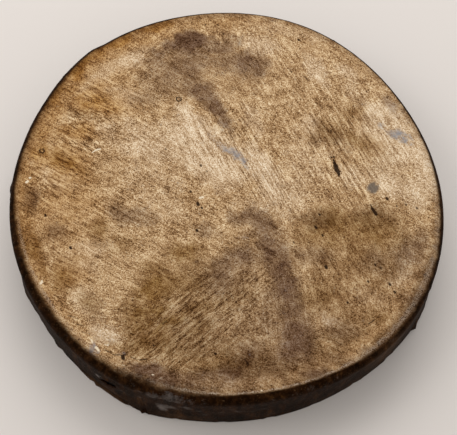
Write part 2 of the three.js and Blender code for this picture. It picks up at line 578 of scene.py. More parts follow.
# %% [markdown]
# ## The wall and its hem
#
# Round the side the hide has shrunk into small upright folds, deeper towards the hem. Where it
# goes under the back edge it was pulled tight at thirty points, one every 12 degrees, and each
# pull has gathered the hem into a crease. No two pulls are alike, so each has a strength and a
# place that differ a little from the even ones.

# %% Fold the wall and pull the hem
PULLS = 30
FIRST_PULL = 7
PULL_WANDERS = 1.2
PUCKER_DEPTH = 0.9
FOLD_DEPTH = 0.5
# Folds are drawn on a ring of this radius, with heights pressed down, so that they stand upright
FOLD_RING = 210
PRESSED = 0.22

towards_hem = smooth_step(travelled, WALL_START, WALL_END) * (travelled < MARGIN_START)
unrolled = places(angle, FOLD_RING, height * PRESSED)
folds = cloud(unrolled, 9, 3) + 0.5 * cloud(unrolled, 3.5, 4)
outwards = -FOLD_DEPTH * (0.35 + 0.65 * towards_hem) * (0.5 - 0.5 * folds) * on_wall

pull_width = 360 / PULLS
for pull in range(PULLS):
    strength = 0.75 + 0.45 * noise.noise(Vector((pull * 3.7, 1.3, 0.4)))
    wander = PULL_WANDERS * noise.noise(Vector((pull * 2.9, 8.1, 5.2)))
    away = turn_between(angle, FIRST_PULL + pull * pull_width + wander)
    crease = np.exp(-(away / 0.75) ** 2) - 0.45 * np.exp(-((np.abs(away) - 1.6) / 0.7) ** 2)
    low_wall = smooth_step(travelled, WALL_END - 16, WALL_END + 2) * (travelled < MARGIN_START - 6)
    outwards -= PUCKER_DEPTH * strength * crease * low_wall
print("The wall's folds and creases go", round(-outwards.min(), 2), "mm in")

# %% [markdown]
# ## The damaged places
#
# The tear's lips curl out a little. The gathered crease is a groove between two low banks. Next to
# the tear the hem has rolled into a thick bead, and knobs of dried hide stand out of the wall.

# %% Shape the damage
LIPS_PROUD = 0.9
BANKS_PROUD = 0.8

along = round_the_wall(angle, TEAR["angle"])
rise = height - TEAR["height"]
tilt = math.radians(TEAR["tilt"])
tear_u = along * math.cos(tilt) + rise * math.sin(tilt)
tear_v = -along * math.sin(tilt) + rise * math.cos(tilt)
tear_reach = np.hypot(tear_u / TEAR["half_length"], tear_v / TEAR["half_width"])
outwards += LIPS_PROUD * np.exp(-((tear_reach - 1.25) / 0.35) ** 2) * on_wall

along = round_the_wall(angle, CREASE["angle"])
run_down = smooth_step(CREASE["top"] - height, 0, CREASE["top"] * 0.7) * (travelled > WALL_START)
run_down = run_down * (travelled < MARGIN_START - 6)
outwards -= CREASE["depth"] * run_down * np.exp(-(along / CREASE["half_width"]) ** 2)
outwards += BANKS_PROUD * run_down * np.exp(-((np.abs(along) - 3.2) / 1.6) ** 2)

hem_middle = (ROLLED_HEM["from"] + ROLLED_HEM["to"]) / 2
hem_reach = (ROLLED_HEM["to"] - ROLLED_HEM["from"]) / 2
on_roll = smooth_step(-np.abs(turn_between(angle, hem_middle)), -hem_reach, -hem_reach + 4) * on_wall
roll = np.exp(-((height - ROLLED_HEM["height"]) / 2.4) ** 2)
roll -= 0.6 * np.exp(-((height - ROLLED_HEM["height"] - 6) / 2.0) ** 2)
outwards += ROLLED_HEM["proud"] * on_roll * roll

for at, half_turn, knob_height, half_height, proud in KNOBS:
    across = turn_between(angle, at) / half_turn
    upright = (height - knob_height) / half_height
    outwards += proud * np.exp(-(across ** 4 + upright ** 4)) * on_wall
print("The wall's relief runs from", round(outwards.min(), 2), "to", round(outwards.max(), 2), "mm")

# %% [markdown]
# ## The turned-in margin, and the shape put on the net
#
# Relief on the wall goes sideways, and under the heel it goes down, so the direction turns with
# the heel. There it may only go in, or the drum would rock. Inside, the margin's edge rises to a
# point at each pull, and in between it is slack and stands off the wood. Last comes the hoop's
# own uneven outline.

# %% Shape the margin and move the net
SCALLOP = 3.0
MARGIN_STANDS_OFF = 1.6

heel_turn = np.clip((travelled - WALL_END) / (MARGIN_START - WALL_END), 0, 1) * math.pi
sideways = np.cos(heel_turn)
under = np.sin(heel_turn) * (travelled > WALL_END)
outwards = np.where(under > 0.05, np.minimum(outwards, 0), outwards)
radius_shaped = radius + outwards * sideways * (travelled > FACE_EDGE)
height -= outwards * under

up_margin = np.clip((travelled - MARGIN_START) / (HIDE_END - MARGIN_START), 0, 1)
pulled = np.cos(PULLS * np.radians(angle - FIRST_PULL))
frayed = cloud(unrolled, 5, 6) * 0.8
height += up_margin * (SCALLOP * pulled + frayed * up_margin ** 3)
radius_shaped -= on_margin * up_margin ** 2 * MARGIN_STANDS_OFF * (0.5 - 0.5 * pulled)
radius_shaped += on_margin * up_margin * 0.5 * cloud(unrolled, 7, 7)

# The hoop's true outline, and the drum's own place on the floor
radius_shaped += wall_shift(angle, net[:, 2]) * smooth_step(radius, INSIDE + 6, RADIUS - 3)
radius_shaped *= outline_scale(angle)
shaped = places(angle, radius_shaped, np.maximum(height, 0)) + (CENTRE_X, CENTRE_Y, 0)
for vertex, place in zip(skin.verts, shaped):
    vertex.co = place * MM
print("The margin rises to", round(height[on_margin].max(), 1), "mm above the floor")

# %% [markdown]
# ## Painting the stains
#
# Soot, grease and handling have left broad stains of several kinds, and broad cool patches over
# the lower half add painted shade towards the near side. Each kind will be a mask from 0 to 1 on
# the points of the net, painted from soft oval patches that overlap, because a few ovals together
# make any soft shape. A patch is (x, y, half-length, half-width, tilt in degrees, strength), in mm
# from the middle.

# %% List the stains on the head
# The nearly black middles of the stains near the far edge
SMOKE_CORES = [
    (-57, 172, 6, 8, 10, 0.8), (-46, 169, 12, 10, 0, 0.85), (-35, 171, 10, 8, 0, 0.8),
    (-50, 161, 12, 5, -10, 0.6), (-73, 154, 9, 6, 20, 0.4), (-77, 144, 7, 7, 0, 0.35),
    (-66, 164, 8, 4, 20, 0.5),
    (-36, 162, 13, 9, 0, 0.35), (-20, 166, 12, 8, -10, 0.5), (-41, 178, 11, 6, 0, 0.5),
    (-6, 160, 10, 8, 0, 0.5), (-62, 162, 9, 6, 0, 0.4), (14, 145, 9, 7, 20, 0.3),
    (28, 137, 9, 6, -30, 0.3), (30, 149, 9, 6, -20, 0.3), (10, 152, 8, 7, 0, 0.35),
    (3, 170, 14, 8, -20, 0.4), (-4, 179, 8, 5, -10, 0.3),
]
# Soot and grease, cool dark hazes, and painted shade: the broad patches over the lower half and along
# the near edge darken the head towards its near side
SMOKE_AND_SHADE = [
    (20, 141, 22, 16, -15, 0.65), (-58, 128, 38, 32, -15, 0.52), (-35, 150, 30, 22, 0, 0.45),
    (-26, 107, 20, 12, -30, 0.65), (-13, 92, 13, 8, -50, 0.8), (-2, 77, 14, 6, -58, 0.7),
    (-85, 97, 16, 12, 0, 0.35), (-3, 144, 16, 16, 0, 0.4), (12, 116, 26, 13, 0, 0.2),
    (89, -29, 16, 12, 0, 0.3), (14, -28, 12, 8, 0, 0.6), (33, -30, 12, 10, -50, 0.55),
    (45, -58, 34, 14, -72, 0.6), (56, -92, 30, 13, -78, 0.65), (64, -124, 30, 13, -78, 0.5),
    (74, -156, 24, 14, -78, 0.5), (14, -68, 18, 13, 0, 0.6), (-4, -84, 14, 12, 0, 0.5),
    (22, -173, 18, 9, 0, 0.5), (52, -173, 16, 9, 0, 0.5), (109, -137, 16, 11, 0, 0.5),
    (137, -71, 14, 12, 0, 0.45), (170, -106, 10, 14, -35, 0.55), (188, -45, 9, 22, -8, 0.3),
    (141, -21, 28, 16, 0, 0.4), (-103, -24, 17, 9, -10, 0.45), (-160, -48, 14, 11, -10, 0.5),
    (-189, -12, 10, 18, 5, 0.6), (164, 104, 8, 16, 35, 0.5), (100, 62, 28, 20, -20, 0.3),
    (120, -95, 70, 60, 0, 0.25), (0, -145, 110, 46, 0, 0.4), (30, -62, 34, 54, 0, 0.3),
    (-20, -88, 46, 24, 10, 0.22), (10, -187, 80, 10, 2, 0.5), (66, -158, 16, 12, 0, 0.5),
    (-55, -186, 34, 10, -12, 0.7), (62, -146, 12, 18, 0, 0.4), (102, -162, 14, 8, 30, 0.5),
    (84, -178, 14, 7, 15, 0.8), (88, -26, 20, 10, 0, 0.35), (166, -58, 12, 22, -10, 0.55),
    (-85, -30, 24, 12, 0, 0.45), (70, -141, 18, 9, 0, 0.5), (58, -160, 12, 10, 0, 0.7),
    (26, -161, 16, 8, 0, 0.45), (0, -182, 14, 7, 0, 0.6), (4, -198, 34, 7, 0, 0.4),
    (42, -118, 8, 26, 0, 0.35), (181, -58, 9, 26, -10, 0.5), (-66, -181, 18, 8, -10, 0.85),
    (80, -62, 20, 11, 0, 0.45), (-2, -96, 16, 14, -20, 0.4), (-18, -42, 14, 9, 0, 0.45),
    (4, -182, 18, 8, 0, 0.45),
]
# Earth and handling: olive-brown stains, some of them thin strokes
EARTH = [
    (-65, -103, 15, 12, 0, 0.75), (-36, -64, 17, 12, 0, 0.6), (-63, -152, 20, 8, 15, 0.45),
    (-80, -127, 24, 6, -8, 0.5), (-48, -133, 22, 6, 42, 0.5), (103, 72, 22, 18, 0, 0.5),
    (124, 92, 12, 9, 0, 0.55), (150, 45, 18, 26, -20, 0.25), (125, -45, 50, 26, -20, 0.45),
    (118, -80, 44, 40, 0, 0.3), (95, -152, 30, 16, 0, 0.4), (120, -130, 28, 16, -20, 0.35),
    (-45, -125, 50, 32, 30, 0.3), (-20, -162, 70, 22, 0, 0.4), (-150, -86, 15, 20, -30, 0.35),
    (-175, -76, 8, 22, 25, 0.4), (-40, -90, 40, 24, 0, 0.4), (146, -36, 34, 18, -12, 0.4),
    (100, -22, 14, 10, 0, 0.4), (-142, 78, 20, 8, -10, 0.4), (20, -176, 60, 12, 0, 0.5),
    (90, -35, 26, 19, 25, 0.65), (141, -24, 30, 18, 0, 0.5), (-40, -62, 14, 10, 0, 0.4),
    (-100, -60, 14, 9, 0, 0.45), (-70, -80, 14, 9, 0, 0.45), (-70, -120, 18, 9, 0, 0.5),
    (-55, -96, 30, 12, 0, 0.5), (-18, -122, 14, 8, 42, 0.5), (-150, -100, 14, 12, -45, 0.7),
    (-80, -136, 14, 12, 0, 0.6), (-20, -140, 14, 8, 20, 0.5), (130, 60, 16, 10, -30, 0.6),
    (-165, 30, 22, 10, -28, 0.45), (-150, 22, 22, 6, -28, 0.5),
    (84, -106, 22, 17, 0, 0.5), (-122, -44, 14, 12, 0, 0.6), (-182, -62, 8, 30, 20, 0.6),
    (-72, -160, 40, 7, -5, 0.4), (-124, -118, 14, 10, -30, 0.6), (140, -118, 12, 9, 0, 0.5),
    (-68, -106, 14, 2.5, -18, 0.7), (-72, -113, 15, 2.5, -16, 0.7), (-82, -119, 14, 2.5, -14, 0.6),
    (-62, -121, 13, 2.5, -16, 0.6), (-60, -128, 20, 2.5, 40, 0.7), (-52, -136, 22, 2.5, 42, 0.7),
    (-72, -140, 16, 2.5, 38, 0.6), (-30, -122, 18, 2.5, 42, 0.5), (12, -112, 24, 12, 40, 0.4),
]
# Golden and rust-brown areas
RUST = [
    (-130, 92, 42, 15, -6, 0.7), (-152, 61, 34, 9, -8, 0.65), (-162, 28, 36, 24, -28, 0.75),
    (-131, 112, 10, 8, 0, 0.35), (-78, 184, 28, 9, 22, 0.8), (-117, 163, 28, 10, 37, 0.9),
    (-150, 134, 26, 11, 50, 0.95), (-177, 98, 24, 10, 62, 0.8), (-158, -24, 40, 34, 0, 0.5),
    (-60, -148, 18, 9, 10, 0.3), (145, 55, 16, 20, 20, 0.35), (122, -90, 50, 60, 0, 0.25),
    (-140, -40, 44, 60, 0, 0.2), (-122, 122, 40, 30, 40, 0.35),
    (-188, 30, 10, 36, 0, 0.5), (-145, -90, 18, 28, -30, 0.5), (-10, 195, 50, 8, 0, 0.4),
]
print("Stained patches:", len(SMOKE_CORES) + len(SMOKE_AND_SHADE) + len(EARTH) + len(RUST))

# %% [markdown]
# ## Scraped places, smears and the scraper's directions
#
# Some places were scraped thinner than the rest, and they are paler. A few blue-grey smears lie on
# top of the stains. The scraper ran in its own direction in each part of the head, so five more
# masks say where each direction shows.

# %% List what the scraper and the smears left
# Pale scraped places
SCRAPED = [
    (-43, 84, 16, 9, -55, 0.7), (-33, 66, 20, 11, -58, 0.95), (-50, 60, 18, 14, -20, 0.5),
    (-18, 46, 20, 10, -45, 0.6), (-20, 22, 22, 16, -50, 0.45), (28, 34, 20, 11, -58, 0.85),
    (42, 8, 20, 11, -62, 0.75), (-102, 143, 22, 9, 38, 0.75), (-124, 125, 14, 7, 45, 0.55),
    (-141, 103, 9, 8, 50, 0.65), (28, 168, 16, 12, -20, 0.45), (88, 136, 18, 7, -58, 0.55),
    (150, 92, 14, 9, -40, 0.6), (190, 28, 9, 20, 12, 0.8), (165, 8, 22, 14, 0, 0.6),
    (148, 28, 20, 12, -60, 0.35), (95, -127, 7, 9, 0, 0.6), (-134, -66, 14, 10, 0, 0.4),
    (-108, -148, 15, 10, -20, 0.9), (58, 184, 46, 9, -12, 0.35), (80, 35, 30, 36, 0, 0.3),
    (-85, 62, 26, 12, -20, 0.45), (-70, 20, 40, 26, 0, 0.25), (130, 112, 24, 10, -50, 0.35),
    (-128, -118, 22, 14, -45, 0.4), (-60, -20, 30, 16, -20, 0.25), (168, -62, 16, 16, 0, 0.25),
    (128, -160, 24, 7, 32, 0.5), (-20, 44, 44, 26, -40, 0.75), (158, 64, 26, 26, -50, 0.7),
    (165, 92, 16, 12, -50, 0.5), (-170, 40, 22, 6, -20, 0.7), (-140, -78, 16, 10, -20, 0.5),
    (62, 2, 16, 14, 0, 0.4), (86, 142, 20, 12, -50, 0.5), (196, 40, 9, 36, 10, 0.8),
    (188, 4, 16, 20, 0, 0.4), (-110, 104, 16, 9, -20, 0.4), (-78, 42, 42, 10, -8, 0.55),
    (36, 22, 17, 14, -60, 0.9), (80, 78, 12, 11, -60, 0.5), (180, 60, 14, 20, 10, 0.6),
    (165, 40, 16, 14, 0, 0.5), (150, 80, 16, 12, -50, 0.5), (120, 140, 14, 8, -50, 0.6),
    (-112, 98, 22, 9, -20, 0.6), (-190, 20, 9, 14, 0, 0.45), (-160, -40, 14, 8, 0, 0.6),
    (120, 20, 14, 12, 0, 0.4), (-130, -80, 14, 10, 0, 0.4), (24, 78, 24, 8, -65, 0.5),
    (140, -60, 12, 10, 0, 0.5), (172, 86, 16, 10, -50, 0.5), (-180, 42, 11, 8, 0, 0.8),
    (-160, 6, 22, 9, -25, 0.7), (-122, -62, 14, 10, 0, 0.4), (182, -4, 12, 16, 0, 0.5),
    (2, 12, 20, 16, 0, 0.3), (150, 20, 30, 20, 0, 0.25),
    (-176, 18, 30, 8, -26, 0.5), (199, 22, 7, 20, 8, 0.6), (-150, -26, 24, 16, -20, 0.5),
    (160, -82, 12, 10, 0, 0.4), (-120, 60, 14, 8, -20, 0.5), (162, 98, 13, 9, -45, 0.5),
    (178, 80, 10, 10, 0, 0.5), (32, 162, 20, 9, 0, 0.5), (-128, 130, 28, 8, 44, 0.5),
    (42, -14, 42, 13, 0, 0.35), (130, -102, 18, 9, 0, 0.3),
]
# Blue-grey smears
SLATE = [
    (4, 41, 17, 7, -38, 1.0), (-12, 53, 13, 4, -42, 0.7), (16, 30, 9, 4, -55, 0.65),
    (156, 76, 12, 5, -22, 0.8), (168, 70, 13, 9, -25, 1.0), (182, 63, 9, 7, -45, 0.95),
    (-116, -162, 10, 7, -50, 0.85), (-90, -165, 12, 5, 0, 0.4), (-143, 40, 9, 8, 0, 0.35),
    (14, -49, 10, 5, 0, 0.4), (188, 45, 6, 8, 0, 0.35), (-108, -148, 10, 4, -30, 0.4),
]
# One round grey spot with a sharp edge
SLATE_SPOT = (141.5, 8, 5.6, 5.6, 0, 1.0)
# Where the scraper ran in each direction, and how plainly it shows
LAY_FALLING = [
    (-165, 25, 45, 60, -30, 1.0), (-125, 95, 55, 45, -30, 0.8), (-120, -35, 60, 50, 0, 0.7),
    (-60, 20, 50, 50, 0, 0.5), (20, -20, 50, 40, 0, 0.3),
]
LAY_STEEP = [
    (-5, 55, 45, 45, -60, 1.0), (35, 15, 40, 25, -60, 1.0), (120, 55, 70, 80, 0, 0.9),
    (40, 140, 60, 50, 0, 0.5), (110, -60, 70, 60, 0, 0.4),
]
LAY_RISING = [(-40, -140, 55, 40, 42, 1.0), (10, -110, 50, 34, 42, 0.6), (-80, 150, 50, 30, 40, 0.4)]
LAY_LEVEL = [(-90, -125, 36, 20, -8, 0.9), (-30, -70, 50, 20, -8, 0.4), (30, -180, 90, 14, 8, 0.6)]
LAY_UPRIGHT = [(60, -110, 60, 60, 0, 0.6), (150, -90, 50, 60, 0, 0.5), (0, 170, 60, 30, 0, 0.4)]
print("Scraped and smeared patches:", len(SCRAPED) + len(SLATE))

# %% [markdown]
# ## Stains on the wall
#
# The dark wall has smears, scuffs and dusty earth of its own, and some of its grey and brown
# patches are painted highlights. Their patches are laid on the unrolled wall: (angle, height,
# half-length, half-height, tilt, strength).

# %% List the stains on the wall
# Grey smears and scuffs, and painted grey highlights along the top of the near wall and at the top of
# the crease
WALL_SCUFFS_AND_HIGHLIGHTS = [
    (255.5, 34, 5, 13, 15, 0.95), (258, 41, 7, 6, 10, 0.65), (262, 46, 12, 5, -25, 0.4),
    (237.6, 42.5, 4.2, 2.2, 35, 0.9), (238.8, 47, 2.4, 1.6, 10, 0.7), (249.4, 46, 4, 4, 0, 0.5),
    (266, 30, 8, 6, 0, 0.4), (277, 45, 40, 18, 0, 0.15), (257, 63, 30, 6, 0, 0.45),
    (290, 63, 40, 4, 0, 0.2),
]
# Bare pale spots
WALL_PALE = [
    (243.4, 51, 2, 1.6, 0, 0.7), (240.6, 55, 1.6, 1.6, 0, 0.7), (265.5, 9, 4, 2, 0, 0.6),
    (264, 16, 14, 7, 0, 0.15), (331, 7, 4, 4, 0, 0.4),
]
# Dusty brown earth, and painted highlights: lighter brown on the rolled hem's ridge and on the upper
# wall near the shoulder on the right
WALL_EARTH_AND_HIGHLIGHTS = [
    (238, 5, 34, 5, 0, 0.7), (241, 16, 18, 2, 0, 0.7), (260, 10, 26, 14, 0, 0.35),
    (308, 6, 26, 6, 0, 0.4), (316, 40, 26, 26, 0, 0.5), (190, 16, 30, 20, 0, 0.35),
    (350, 10, 30, 14, 0, 0.4), (318, 58, 60, 8, 0, 0.35), (60, 30, 40, 20, 0, 0.4),
    (130, 44, 30, 16, 0, 0.4), (20, 20, 24, 20, 0, 0.4), (5, 52, 60, 14, 0, 0.6),
]
print("Patches on the wall:", len(WALL_SCUFFS_AND_HIGHLIGHTS) + len(WALL_PALE) + len(WALL_EARTH_AND_HIGHLIGHTS))

# %% [markdown]
# ## From patches to masks
#
# Patches of one kind add up as coats of a wash do: each covers a share of what is still bare, so
# a mask never passes its full strength. Noise first moves every point's place by a few
# millimetres, so that the ovals don't look like ovals. The shader will break the edges up more
# finely still, so that the net's own size never shows in them.

# %% Make the painting tools
# How far the noise moves a patch's edge, in mm
WOBBLE = 5.0
wobble_x = WOBBLE * cloud(net, 16, 11)
wobble_y = WOBBLE * cloud(net, 16, 12)


def oval(x, y, patch, soft=(0.25, 1.5)):
    """A soft oval patch, 1 at its middle times its strength."""
    px, py, half_length, half_width, tilt, strength = patch
    c, s = math.cos(math.radians(tilt)), math.sin(math.radians(tilt))
    along = ((x - px) * c + (y - py) * s) / half_length
    across = (-(x - px) * s + (y - py) * c) / half_width
    return strength * (1 - smooth_step(np.hypot(along, across), *soft))


def head_mask(patches, wobble=1.0, soft=(0.25, 1.5)):
    """All patches of one kind together, on the head only."""
    clear = np.ones(len(net))
    for patch in patches:
        clear *= 1 - oval(flat_x + wobble * wobble_x, flat_y + wobble * wobble_y, patch, soft)
    return (1 - clear) * (travelled < WALL_START)


def wall_mask(patches):
    """All patches of one kind together, on the wall only."""
    clear = np.ones(len(net))
    for at, up_wall, *shape in patches:
        along = round_the_wall(angle, at)
        clear *= 1 - oval(along, height - up_wall, (0, 0, *shape))
    return (1 - clear) * (travelled > FACE_EDGE) * (travelled < MARGIN_START)


def strokes_mask(strokes):
    """Marks on the head, darkest along their middle lines."""
    clear = np.ones(len(net))
    for stroke in strokes:
        away = stroke_distance(flat_x, flat_y, stroke)
        clear *= 1 - stroke[5] * (1 - smooth_step(away, stroke[4] * 0.5, stroke[4] * 1.5))
    return (1 - clear) * on_head


print("The painting noise moves a place by", round(float(np.abs(wobble_x).max()), 1), "mm at most")

# %% [markdown]
# ## Round the rim
#
# Along the rim the look changes with the angle: golden on the left, darkened on the near side by
# dirt and by painted shade, a dark side that starts sharply or smokily, and on the near side a thin
# pale line where the edge is rubbed bare, which is partly a painted highlight. Each quality has one
# value at each of sixteen angles.

# %% Follow the rim
# In turn: how golden the head's edge is, how wide the dirt and painted shade on it are and how
# heavy, how far past the flat edge the dark side starts, how softly it does so, and where the thin
# line of wear and painted highlight runs, how plainly and how wide. Sizes are in mm
RIM_ANGLES = [0, 45, 90, 120, 150, 180, 205, 222, 235, 250, 262, 272, 300, 318, 340, 360]
RIM_GOLD = [0.1, 0.1, 0.2, 0.5, 0.6, 0.6, 0.5, 0.3, 0.2, 0, 0, 0.2, 0.3, 0.3, 0.2, 0.1]
RIM_DARKENING_WIDTH = [8, 6, 6, 7, 8, 7, 8, 8, 8, 16, 16, 12, 10, 12, 10, 6]
RIM_DIRT_AND_SHADE = [0.4, 0.35, 0.5, 0.6, 0.7, 0.7, 0.9, 0.8, 0.6, 0.9, 0.8, 0.7, 0.8, 1, 0.9, 0.5]
SIDE_STARTS = [2.8, 4.4, 4.4, 3.2, 2.2, 2.4, 0, -1, 0, -2, -1, -0.5, 1, 3.2, 4.5, 2.8]
SIDE_SOFTNESS = [2, 1.2, 1.2, 1.8, 2.4, 2.2, 3, 3, 3, 5, 4, 1.2, 1.2, 2.5, 3, 2]
LINE_PLACES = [1, 0, 0, 0, 0, 0, -3, -4, -4, -4, -2.5, -1.6, -0.5, 0, 1, 1]
LINE_STRENGTH = [0.2, 0, 0, 0, 0, 0, 0.5, 0.4, 0.2, 0.1, 0.7, 1, 0.85, 0.55, 0.5, 0.2]
LINE_WIDTH = [2.5, 1, 1, 1, 1, 1, 2, 2, 2, 2, 1.4, 1, 1.2, 2.5, 3, 2.5]
gold, darkening_width, dirt_and_shade, side_start, softness, line_place, line_strength, line_width = (
    np.interp(angle, RIM_ANGLES, values)
    for values in (RIM_GOLD, RIM_DARKENING_WIDTH, RIM_DIRT_AND_SHADE, SIDE_STARTS, SIDE_SOFTNESS, LINE_PLACES,
                   LINE_STRENGTH, LINE_WIDTH)
)
near_edge = smooth_step(travelled, FACE_EDGE - 28, FACE_EDGE - 12) * (travelled < WALL_START)
print("The dark side starts", round(float(side_start.min()), 1), "to",
      round(float(side_start.max()), 1), "mm past the flat of the head")

# %% [markdown]
# ## The masks themselves
#
# Every mask is kept on the net as a named attribute, which the shader can read by its name.

# %% Paint the masks on the net
# Half the width of a scar's dark ring, and of the painted shade line down the crease's groove, in mm
RING_SOFTNESS = 0.8
CREASE_SOFTNESS = 1.3

ring_marks = np.zeros(len(net))
for x, y, *_, ring_radius, strength in RING_STROKES:
    away = np.hypot(flat_x - x, flat_y - y)
    dark_ring = strength * np.exp(-((away - ring_radius) / RING_SOFTNESS) ** 2)
    ring_marks = np.maximum(ring_marks, dark_ring)
# Painted shade: the hide round the tear's opening is darkened as the hole's shadow
tear_shade = (1 - smooth_step(tear_reach, 1.0, 1.5)) * on_wall
# Painted shade: a dark line down the groove of the gathered crease
from_crease = round_the_wall(angle, CREASE["angle"])
crease_shade = run_down * np.exp(-(from_crease / CREASE_SOFTNESS) ** 2)

masks = {
    # Soot and grease, with painted shade in the broad patches of the lower half
    "smoke": 1 - (1 - head_mask(SMOKE_AND_SHADE)) * (1 - head_mask(SMOKE_CORES, 1.0, (0.7, 1.15))),
    "earth": head_mask(EARTH),
    "rust": np.maximum(head_mask(RUST), gold * near_edge),
    "scraped": head_mask(SCRAPED),
    "slate": head_mask(SLATE, 0.4),
    "slate_spot": head_mask([SLATE_SPOT], 0.12, (0.8, 1.15)),
    "wall_earth": wall_mask(WALL_EARTH_AND_HIGHLIGHTS),
    "wall_pale": wall_mask(WALL_PALE),
    "wall_slate": wall_mask(WALL_SCUFFS_AND_HIGHLIGHTS),
    # Besides the cuts, flecks and scars, the dark marks carry painted shade in the crease's groove and
    # round the tear
    "mark": np.maximum.reduce(
        [strokes_mask(CUTS + FLECK_STROKES), ring_marks, tear_shade, crease_shade]
    ),
    "nick": strokes_mask(NICKS),
    # Dirt and painted shade round the head's edge, heaviest on the near side
    "grime": dirt_and_shade * smooth_step(travelled, FACE_EDGE - darkening_width, FACE_EDGE + 3),
    "side": (travelled - FACE_EDGE - side_start) / softness,
    "worn_and_lit": line_strength,
    "past_line": (travelled - FACE_EDGE - line_place) / line_width,
    "lay_falling": head_mask(LAY_FALLING),
    "lay_steep": head_mask(LAY_STEEP),
    "lay_rising": head_mask(LAY_RISING),
    "lay_level": head_mask(LAY_LEVEL),
    "lay_upright": head_mask(LAY_UPRIGHT),
}
# Where no other direction shows, the scraper's faint falling one does
others = [masks["lay_" + lay] for lay in ("steep", "rising", "level", "upright")]
masks["lay_falling"] = np.maximum(masks["lay_falling"], 0.5 * (1 - np.maximum.reduce(others)))
for name, mask in masks.items():
    layer = skin.verts.layers.float.new(name)
    for vertex, value in zip(skin.verts, mask):
        vertex[layer] = value
    print(f"{name}: on {np.mean(mask > 0.3):.1%} of the points")

# %% [markdown]
# ## Opening the tear
#
# The tear goes right through the hide and shows the wood behind it, whose outer face is painted
# nearly black as shade. The faces inside its ragged oval are deleted, and the new border is
# smoothed so that it doesn't show the net's steps.

# %% Cut the tear out
# How much of the tear's own size its ragged outline swings by, and where its edge lies
TEAR_RAGGED = 0.45
TEAR_EDGE = 0.95

torn_reach = tear_reach + TEAR_RAGGED * cloud(net, 2.8, 21)
for vertex, reach in zip(skin.verts, torn_reach):
    vertex.tag = bool(reach < TEAR_EDGE)
torn = [f for f in skin.faces if all(v.tag for v in f.verts)]
torn = [f for f in torn if f.calc_center_median().length > (RADIUS - 20) * MM]
before = {e for e in skin.edges if e.is_boundary}
bmesh.ops.delete(skin, geom=torn, context="FACES")
lips = {v for e in skin.edges if e.is_boundary and e not in before for v in e.verts}
bmesh.ops.smooth_vert(skin, verts=list(lips), factor=0.5,
                      use_axis_x=True, use_axis_y=True, use_axis_z=True)
print("The tear took", len(torn), "faces and has", len(lips), "points round it")

# %% [markdown]
# ## The hide's thickness
#
# So far the hide is a skin of no thickness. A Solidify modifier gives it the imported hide's
# thickness, inwards from the shaped face, so the outline stays. It gives the inner wall the second
# material in the piece's list, which will be the hide's flesh side.

# %% Make the hide a piece of its own
hide = make_object(skin, "drum_hide", "hide")
hide.data.shade_smooth()

thickness = hide.modifiers.new("thickness", "SOLIDIFY")
thickness.thickness = HIDE_THICKNESS * MM
thickness.offset = -1
thickness.material_offset = 1
thickness.material_offset_rim = 0
print("The hide's skin has", len(hide.data.polygons), "faces before it gets its thickness")

# %% [markdown]
# ## The hoop
#
# The hoop is one strip of wood, steamed or soaked, bent round and fastened to itself where its
# ends overlap. Its section is spun like the hide's profile, with small rounds on its edges and a
# larger one in front, under the hide's shoulder.

# %% Spin the hoop
HOOP_STEPS = 360
EDGE_ROUND = 2.0

outside = RADIUS - HIDE_THICKNESS - CLEARANCE
front = DEPTH - HIDE_THICKNESS - CLEARANCE - HEAD_SINK - 0.4
foot = HIDE_THICKNESS + CLEARANCE + 0.6
front_round = SHOULDER - HIDE_THICKNESS
section = [(INSIDE + HIDE_THICKNESS + CLEARANCE, foot + EDGE_ROUND)]
inner_face = section[0][0]
section += arc(inner_face + EDGE_ROUND, foot + EDGE_ROUND, EDGE_ROUND, 180, 270, 4)
section += straight(section[-1], (outside - EDGE_ROUND, foot), 2)
section += arc(outside - EDGE_ROUND, foot + EDGE_ROUND, EDGE_ROUND, 270, 360, 4)
section += straight(section[-1], (outside, front - front_round), 12)
section += arc(outside - front_round, front - front_round, front_round, 0, 90, 5)
section += arc(inner_face + EDGE_ROUND, front - EDGE_ROUND, EDGE_ROUND, 90, 180, 4)
section += straight(section[-1], section[0], 16)

wood = spin_profile(section, HOOP_STEPS)
ring = np.array([v.co for v in wood.verts])
ring_angle = np.degrees(np.arctan2(ring[:, 1], ring[:, 0])) % 360
ring_radius = np.hypot(ring[:, 0], ring[:, 1])
print("The hoop's section has", len(section) - 1, "sides and", len(wood.faces), "faces in all")

# %% [markdown]
# ## The lap joint and the tool marks
#
# Where the strip's ends overlap, the outer end leaves a corner in the outline, which the packed
# outline already has. Inside, above the hide's margin, the other end thickens the hoop bit by bit
# and then stops at a step, cut square. The knife has left long shallow flats along the strip.

# %% Shape the hoop
# The angles where the lap starts and ends, and the height of its step in mm
LAP_START = 129
LAP_END = 152
LAP_INSIDE = 3.0
# The knife's flats are drawn on a ring this small, which makes them five times longer than high
FLATS_RING = 40

lap = (ring_angle - LAP_START) / (LAP_END - LAP_START)
lapped = np.where((lap >= 0) & (lap <= 1), lap, 0) * LAP_INSIDE
above_margin = smooth_step(ring[:, 2], MARGIN + SCALLOP + 1, MARGIN + SCALLOP + 3)
inner_side = ring_radius < inner_face + EDGE_ROUND
strip = places(ring_angle, FLATS_RING, ring[:, 2])
tool_marks = 0.25 * cloud(strip, 9, 31) + 0.12 * cloud(strip, 3, 32)
ring_out = ring_radius - inner_side * (lapped * above_margin - tool_marks)
leaning = np.minimum(wall_shift(ring_angle, ring[:, 2]), 0)
ring_out = (ring_out + leaning) * outline_scale(ring_angle)
shaped_ring = places(ring_angle, ring_out, ring[:, 2]) + (CENTRE_X, CENTRE_Y, 0)
for vertex, place in zip(wood.verts, shaped_ring):
    vertex.co = place * MM

